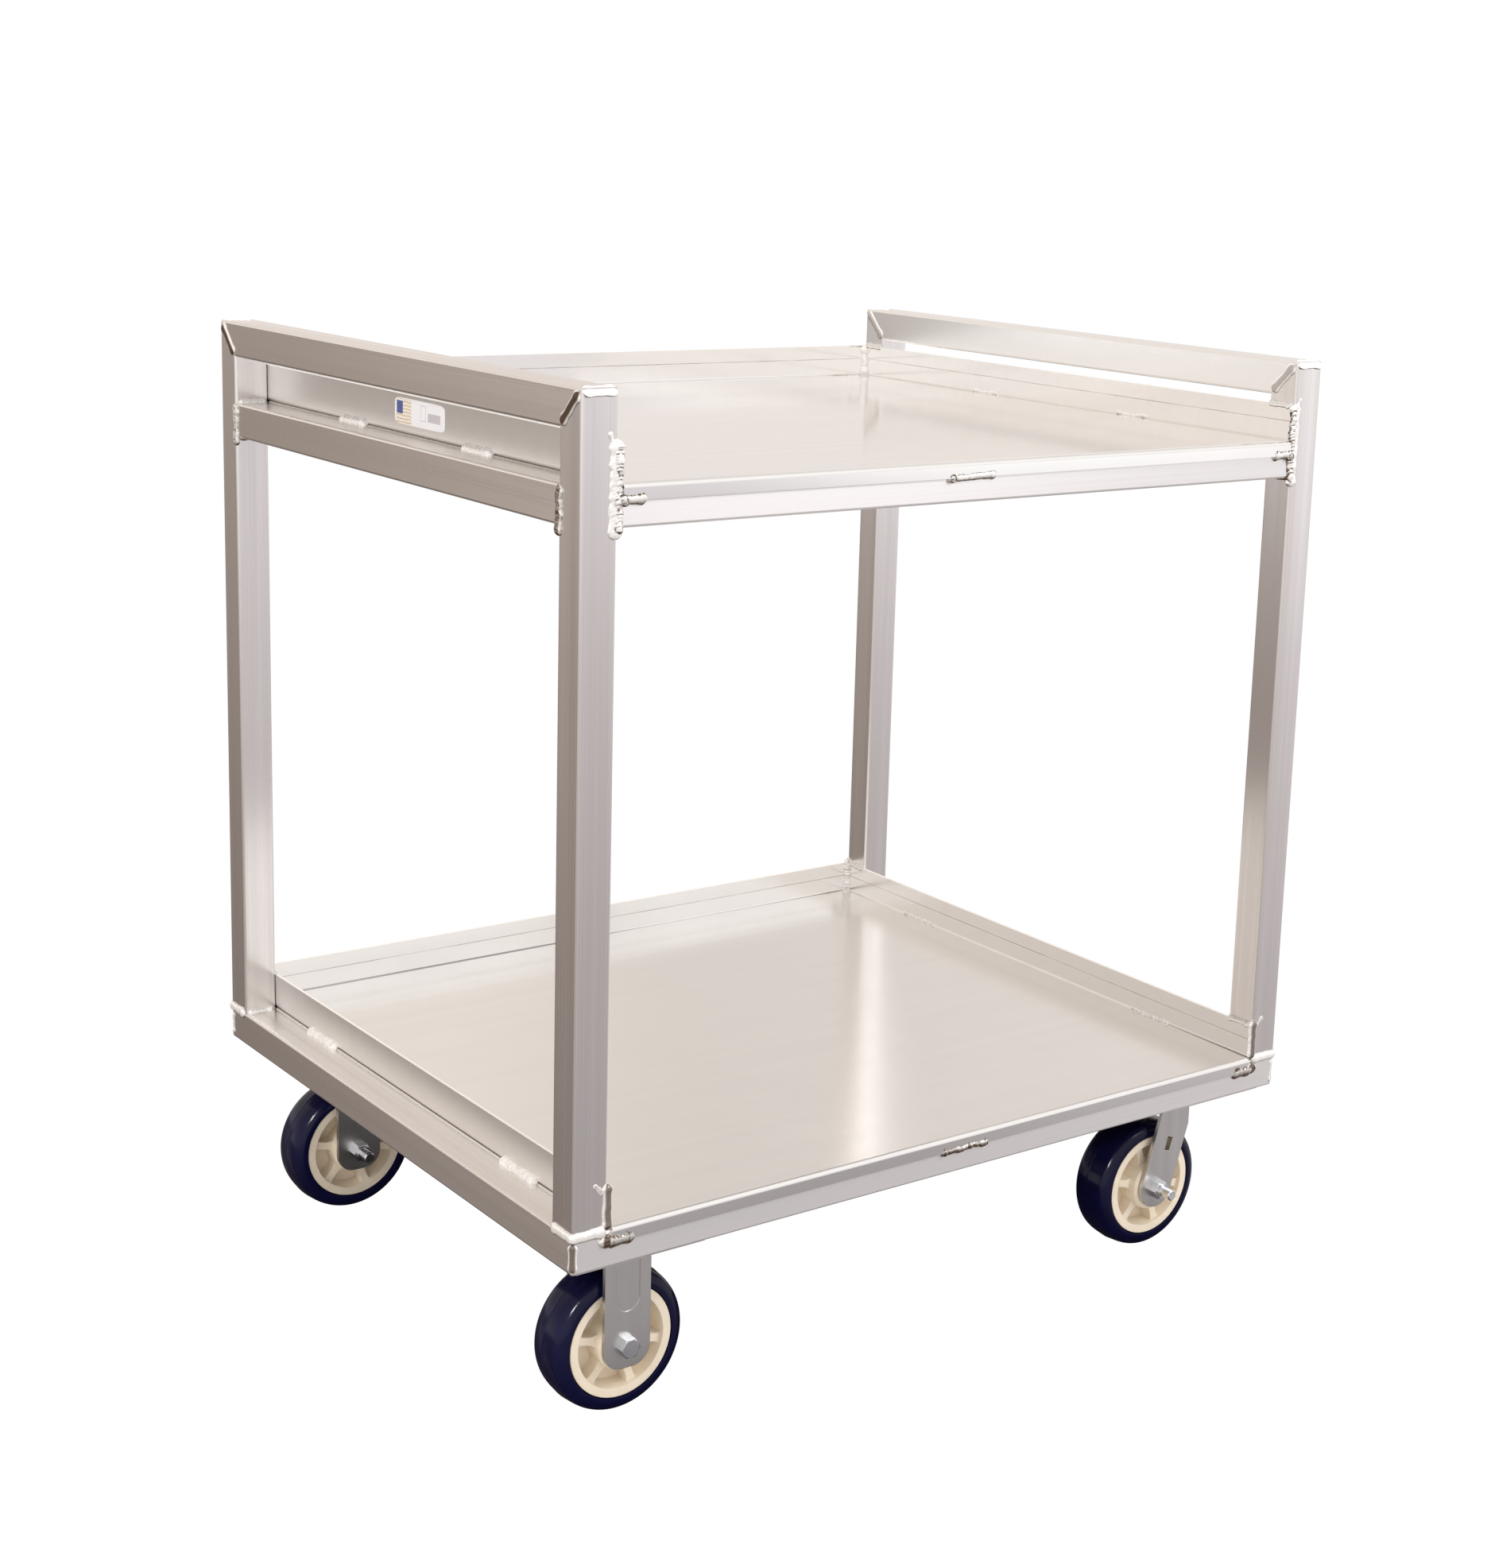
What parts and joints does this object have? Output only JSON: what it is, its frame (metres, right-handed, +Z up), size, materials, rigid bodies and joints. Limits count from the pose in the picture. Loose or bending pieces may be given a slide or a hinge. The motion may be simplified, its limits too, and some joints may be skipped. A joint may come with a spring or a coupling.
{
  "type": "utility cart",
  "caption": "Welded square-tube cart with upper and lower tray shelves, a handle bar at each end, and rigid and swivel casters.",
  "frame": {"origin": "on the floor, in the middle of the space the cart takes up", "axes": "+Z up; +X along the cart, from the rigid casters' end to the swivel casters' end; +Y from the open front to the back edge"},
  "size_m": [0.9432, 0.7798, 1.0348],
  "materials": {
    "tube": "mill finish, fine extrusion lines",
    "sheet": "mill finish, smooth",
    "weld": "bright, rippled",
    "zinc": "zinc plated",
    "bearing_steel": "ground, greased",
    "hub": "moulded polyolefin, cream",
    "tread": "cast polyurethane, dark blue, glossy"
  },
  "bodies": {
    "cart": {"leg_front_left": "tube", "leg_back_left": "tube", "leg_front_right": "tube", "leg_back_right": "tube", "handle_left": "tube", "handle_right": "tube", "upper_rail_front": "tube", "upper_rail_back": "tube", "upper_rail_left": "tube", "upper_rail_right": "tube", "base_rail_front": "tube", "base_rail_back": "tube", "base_rail_left": "tube", "base_rail_right": "tube", "upper_pan": "sheet", "lower_pan": "sheet", "upper_welds": "weld", "lower_welds": "weld", "handle_welds": "weld", "corner_plate_front_left": "tube", "corner_plate_back_left": "tube", "corner_plate_front_right": "tube", "corner_plate_back_right": "tube", "caster_bolts": "zinc", "caster_nuts": "zinc", "fork_front_left": "zinc", "axle_bolt_front_left": "zinc", "axle_nut_front_left": "zinc", "axle_sleeve_front_left": "zinc", "fork_back_left": "zinc", "axle_bolt_back_left": "zinc", "axle_nut_back_left": "zinc", "axle_sleeve_back_left": "zinc", "top_plate_front_right": "zinc", "king_pin_front_right": "zinc", "top_plate_back_right": "zinc", "king_pin_back_right": "zinc"},
    "wheel_front_left": {"hub_front_left": "hub", "tread_front_left": "tread", "bearing_front_left": "bearing_steel"},
    "wheel_back_left": {"hub_back_left": "hub", "tread_back_left": "tread", "bearing_back_left": "bearing_steel"},
    "wheel_front_right": {"hub_front_right": "hub", "tread_front_right": "tread", "bearing_front_right": "bearing_steel"},
    "wheel_back_right": {"hub_back_right": "hub", "tread_back_right": "tread", "bearing_back_right": "bearing_steel"},
    "swivel_front_right": {"fork_front_right": "zinc", "axle_bolt_front_right": "zinc", "axle_nut_front_right": "zinc", "axle_sleeve_front_right": "zinc", "ball_ring_front_right": "bearing_steel"},
    "swivel_back_right": {"fork_back_right": "zinc", "axle_bolt_back_right": "zinc", "axle_nut_back_right": "zinc", "axle_sleeve_back_right": "zinc", "ball_ring_back_right": "bearing_steel"}
  },
  "joints": [
    {"name": "swivel_front_right_turn", "type": "hinge", "parent": "cart", "child": "swivel_front_right", "pos_m": [0.39, -0.294, 0.1755], "axis": [0, 0, 1], "continuous": true},
    {"name": "swivel_back_right_turn", "type": "hinge", "parent": "cart", "child": "swivel_back_right", "pos_m": [0.39, 0.2956, 0.1755], "axis": [0, 0, 1], "continuous": true},
    {"name": "wheel_front_left_turn", "type": "hinge", "parent": "cart", "child": "wheel_front_left", "pos_m": [-0.371, -0.294, 0.076], "axis": [0, 1, 0], "continuous": true},
    {"name": "wheel_back_left_turn", "type": "hinge", "parent": "cart", "child": "wheel_back_left", "pos_m": [-0.371, 0.2956, 0.076], "axis": [0, 1, 0], "continuous": true},
    {"name": "wheel_front_right_turn", "type": "hinge", "parent": "swivel_front_right", "child": "wheel_front_right", "pos_m": [0.349, -0.294, 0.076], "axis": [0, 1, 0], "continuous": true},
    {"name": "wheel_back_right_turn", "type": "hinge", "parent": "swivel_back_right", "child": "wheel_back_right", "pos_m": [0.349, 0.2956, 0.076], "axis": [0, 1, 0], "continuous": true}
  ]
}
